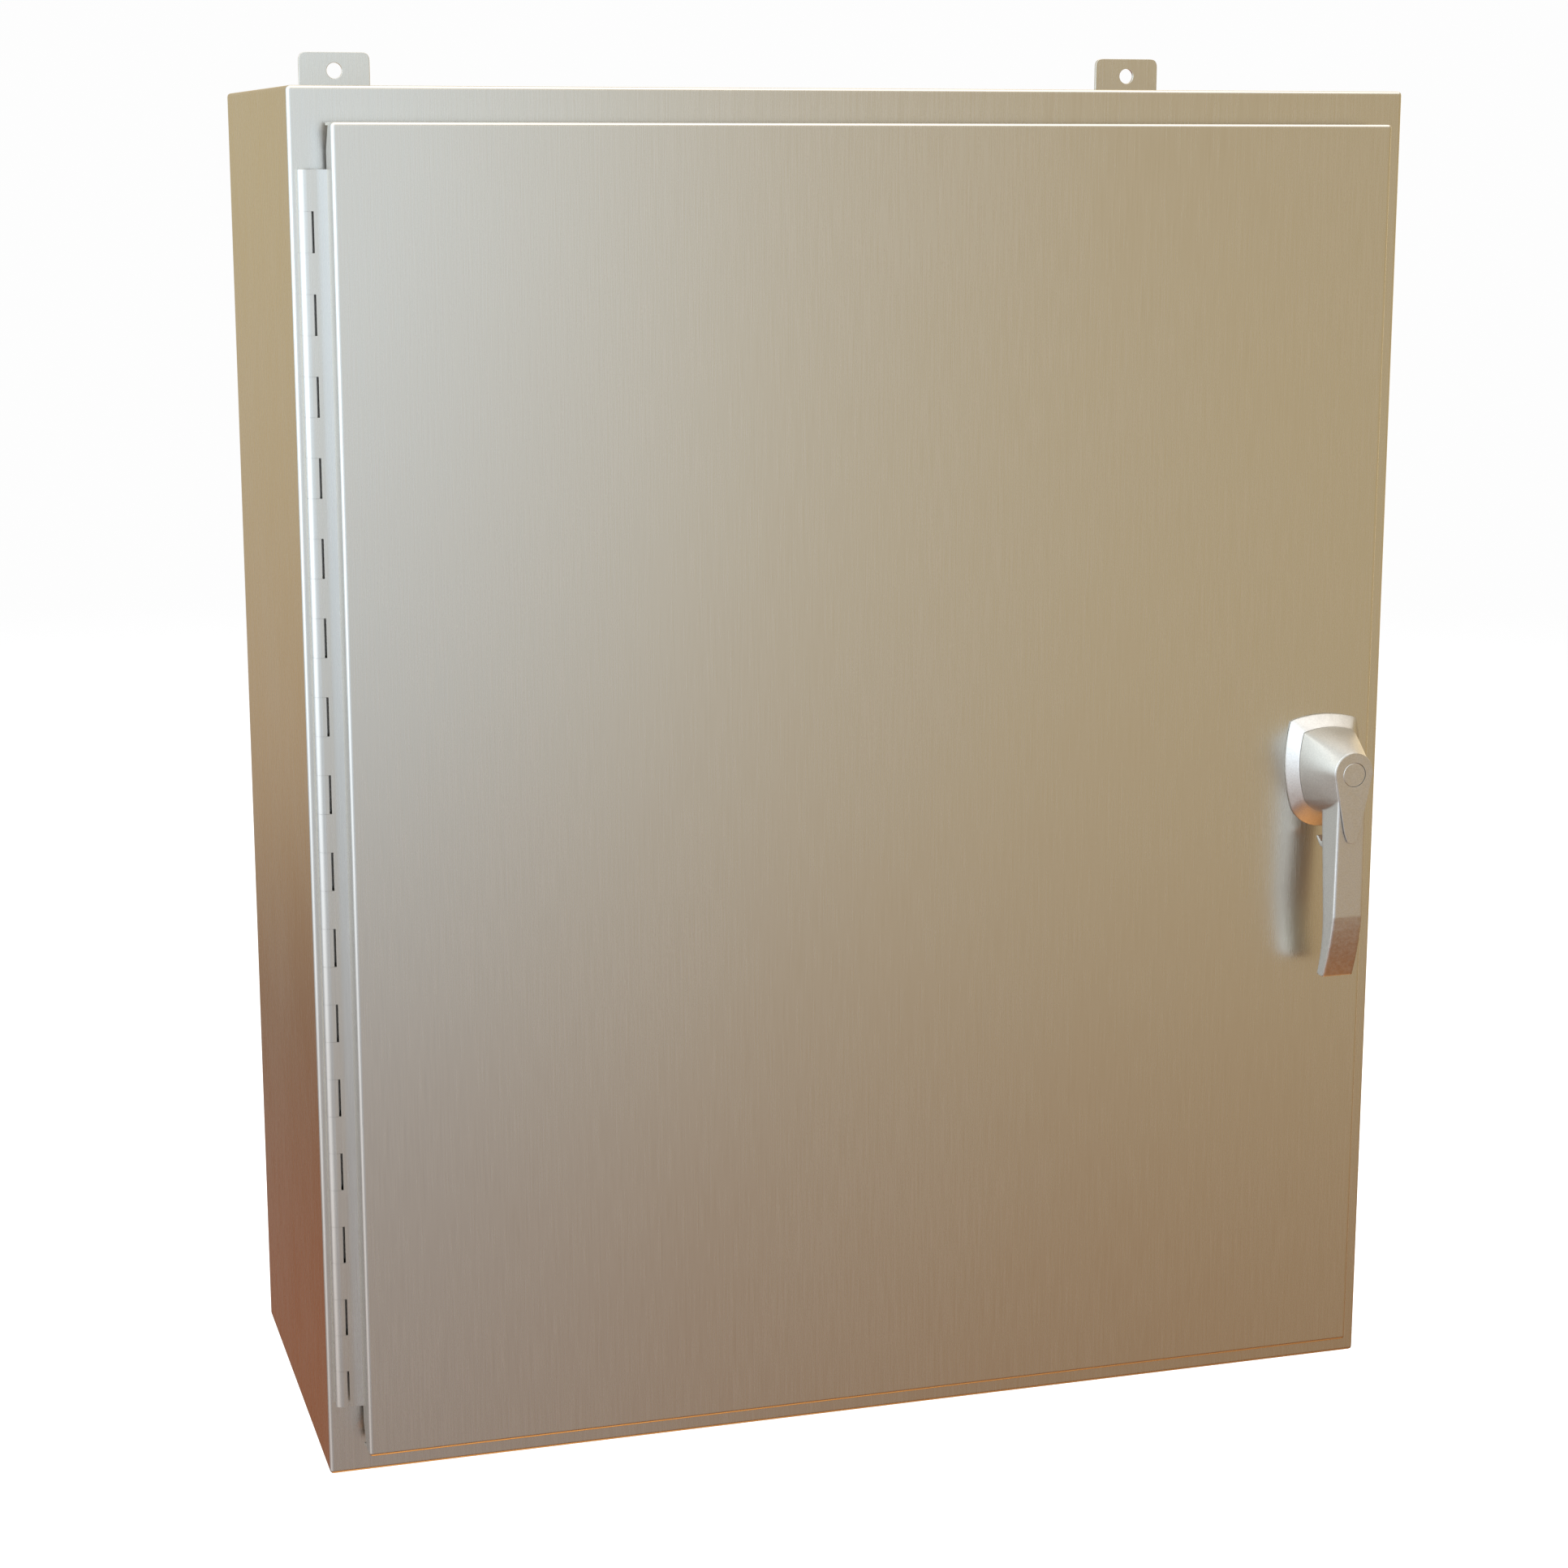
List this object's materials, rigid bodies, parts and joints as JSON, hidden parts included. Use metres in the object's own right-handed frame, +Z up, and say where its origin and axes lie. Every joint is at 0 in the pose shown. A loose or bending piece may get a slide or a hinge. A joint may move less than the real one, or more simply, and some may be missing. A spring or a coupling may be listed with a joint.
{
  "type": "fused disconnect switch",
  "caption": "Wall-mount stainless enclosure with a hinged gasketed door, a lever handle that works latch rods, and a fused knife-blade switch inside.",
  "frame": {"origin": "centre of the back face of the enclosure, in the plane of the wall", "axes": "+Z up, front towards -Y, +X to the right as seen from the front"},
  "size_m": [0.762, 0.3848, 0.9726],
  "materials": {
    "stainless": "brushed, fine vertical grain",
    "seal_rubber": "matte black sponge",
    "pocket_grey": "matte grey moulding",
    "cast_handle": "satin cast metal",
    "zinc_plate": "bright zinc plate",
    "nylon": "natural nylon",
    "panel_paint": "satin white paint",
    "copper": "bare copper, lightly polished",
    "base_red": "moulded glass polyester",
    "clear_shield": "clear polycarbonate",
    "tinned_copper": "dull tin plate",
    "fuse_body": "fibre tube with metal ends",
    "black_plastic": "moulded black thermoset"
  },
  "bodies": {
    "cabinet": {"cabinet_shell": "stainless", "mounting_foot_top_left": "stainless", "mounting_foot_top_right": "stainless", "mounting_foot_bottom_left": "stainless", "mounting_foot_bottom_right": "stainless", "hinge_body_leaf": "stainless", "hinge_pin": "stainless", "mounting_panel": "panel_paint", "panel_stud_1": "zinc_plate", "panel_stud_2": "zinc_plate", "panel_stud_3": "zinc_plate", "panel_stud_4": "zinc_plate", "ground_bar": "copper", "switch_base": "base_red", "line_shield": "clear_shield", "line_terminal_1": "tinned_copper", "line_terminal_2": "tinned_copper", "line_terminal_3": "tinned_copper", "fuse_terminal_1": "tinned_copper", "fuse_terminal_2": "tinned_copper", "fuse_terminal_3": "tinned_copper", "load_terminal_1": "tinned_copper", "load_terminal_2": "tinned_copper", "load_terminal_3": "tinned_copper", "mechanism_frame": "zinc_plate", "rear_bearing": "nylon"},
    "door": {"door_pan": "stainless", "hinge_door_leaf": "stainless", "door_gasket": "seal_rubber", "door_stiffener": "stainless", "document_pocket": "pocket_grey", "handle_seal": "seal_rubber", "handle_escutcheon": "cast_handle", "spindle_bush": "zinc_plate", "upper_rod_guide": "nylon", "lower_rod_guide": "nylon"},
    "handle": {"handle_lever": "cast_handle", "handle_cap": "cast_handle", "lock_plug": "cast_handle", "spindle": "zinc_plate", "latch_cam": "zinc_plate", "cam_nut": "zinc_plate"},
    "upper_rod": {"upper_latch_rod": "zinc_plate"},
    "upper_wheel": {"upper_roller": "nylon"},
    "lower_rod": {"lower_latch_rod": "zinc_plate"},
    "lower_wheel": {"lower_roller": "nylon"},
    "switch_shaft": {"drive_shaft": "zinc_plate", "shaft_coupling": "black_plastic", "shaft_crank": "zinc_plate"},
    "slide": {"operating_slide": "zinc_plate"},
    "blades": {"crossbar": "black_plastic", "crossbar_arm": "zinc_plate", "blade_1": "copper", "blade_2": "copper", "blade_3": "copper"},
    "fuse_1_body": {"fuse_1": "fuse_body"},
    "fuse_2_body": {"fuse_2": "fuse_body"},
    "fuse_3_body": {"fuse_3": "fuse_body"}
  },
  "joints": [
    {"name": "door_swing", "type": "hinge", "parent": "cabinet", "child": "door", "pos_m": [-0.3724, -0.3092, 0], "axis": [0, 0, -1], "range_deg": [0, 170]},
    {"name": "handle_turn", "type": "hinge", "parent": "door", "child": "handle", "pos_m": [0.3227, -0.34, 0], "axis": [0, 1, 0], "range_deg": [0, 90]},
    {"name": "upper_rod_slide", "type": "slide", "parent": "door", "child": "upper_rod", "axis": [0, 0, -1], "range_m": [0, 0.02424]},
    {"name": "lower_rod_slide", "type": "slide", "parent": "door", "child": "lower_rod", "axis": [0, 0, 1], "range_m": [0, 0.02424]},
    {"name": "upper_roller_spin", "type": "hinge", "parent": "upper_rod", "child": "upper_wheel", "pos_m": [0.3372, -0.2965, 0.433], "axis": [1, 0, 0], "continuous": true},
    {"name": "lower_roller_spin", "type": "hinge", "parent": "lower_rod", "child": "lower_wheel", "pos_m": [0.3082, -0.2965, -0.433], "axis": [1, 0, 0], "continuous": true},
    {"name": "shaft_turn", "type": "hinge", "parent": "cabinet", "child": "switch_shaft", "pos_m": [0.3227, -0.16, 0], "axis": [0, 1, 0], "range_deg": [0, 90.5]},
    {"name": "slide_travel", "type": "slide", "parent": "cabinet", "child": "slide", "axis": [0, 0, 1], "range_m": [0, 0.0302]},
    {"name": "blade_swing", "type": "hinge", "parent": "cabinet", "child": "blades", "pos_m": [0.163, -0.105, 0.095], "axis": [1, 0, 0], "range_deg": [0, 60.4]},
    {"name": "fuse_1_pull", "type": "slide", "parent": "cabinet", "child": "fuse_1_body", "axis": [0, -1, 0], "range_m": [0, 0.06]},
    {"name": "fuse_2_pull", "type": "slide", "parent": "cabinet", "child": "fuse_2_body", "axis": [0, -1, 0], "range_m": [0, 0.06]},
    {"name": "fuse_3_pull", "type": "slide", "parent": "cabinet", "child": "fuse_3_body", "axis": [0, -1, 0], "range_m": [0, 0.06]}
  ],
  "couplings": [
    {"joint": "upper_rod_slide", "follows": "handle_turn", "m_per_rad": 0.015305},
    {"joint": "lower_rod_slide", "follows": "handle_turn", "m_per_rad": 0.015305},
    {"joint": "shaft_turn", "follows": "handle_turn", "ratio": 1},
    {"joint": "slide_travel", "follows": "handle_turn", "m_per_rad": 0.019099},
    {"joint": "blade_swing", "follows": "handle_turn", "ratio": 0.66667}
  ]
}
